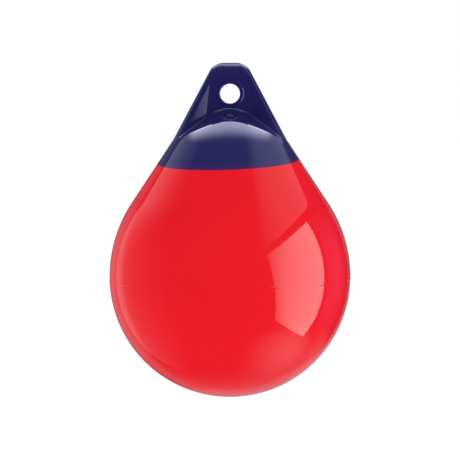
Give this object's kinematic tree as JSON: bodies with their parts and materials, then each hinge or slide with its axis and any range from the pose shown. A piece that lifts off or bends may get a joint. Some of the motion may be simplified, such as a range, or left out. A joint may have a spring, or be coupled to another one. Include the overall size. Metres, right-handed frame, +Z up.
{
  "type": "ball fender",
  "caption": "Inflatable red vinyl ball fender with a moulded navy ropehold, a rope eye and a valve under a screw plug.",
  "frame": {"origin": "centre of the rope eye, halfway through the web", "axes": "+Z up along the fender's axis, from the ball to the ropehold; -Y out of the pocket that holds the valve; Y along the eye"},
  "size_m": [0.281, 0.281, 0.3879],
  "materials": {
    "ball_vinyl": "gloss",
    "ropehold_vinyl": "gloss",
    "valve_plastic": "satin",
    "seal_rubber": "matt"
  },
  "bodies": {
    "root": {"fender_body": "ball_vinyl", "ropehold": "ropehold_vinyl", "valve_sleeve": "valve_plastic", "valve_seal": "seal_rubber", "valve_screw": "valve_plastic"}
  },
  "joints": []
}
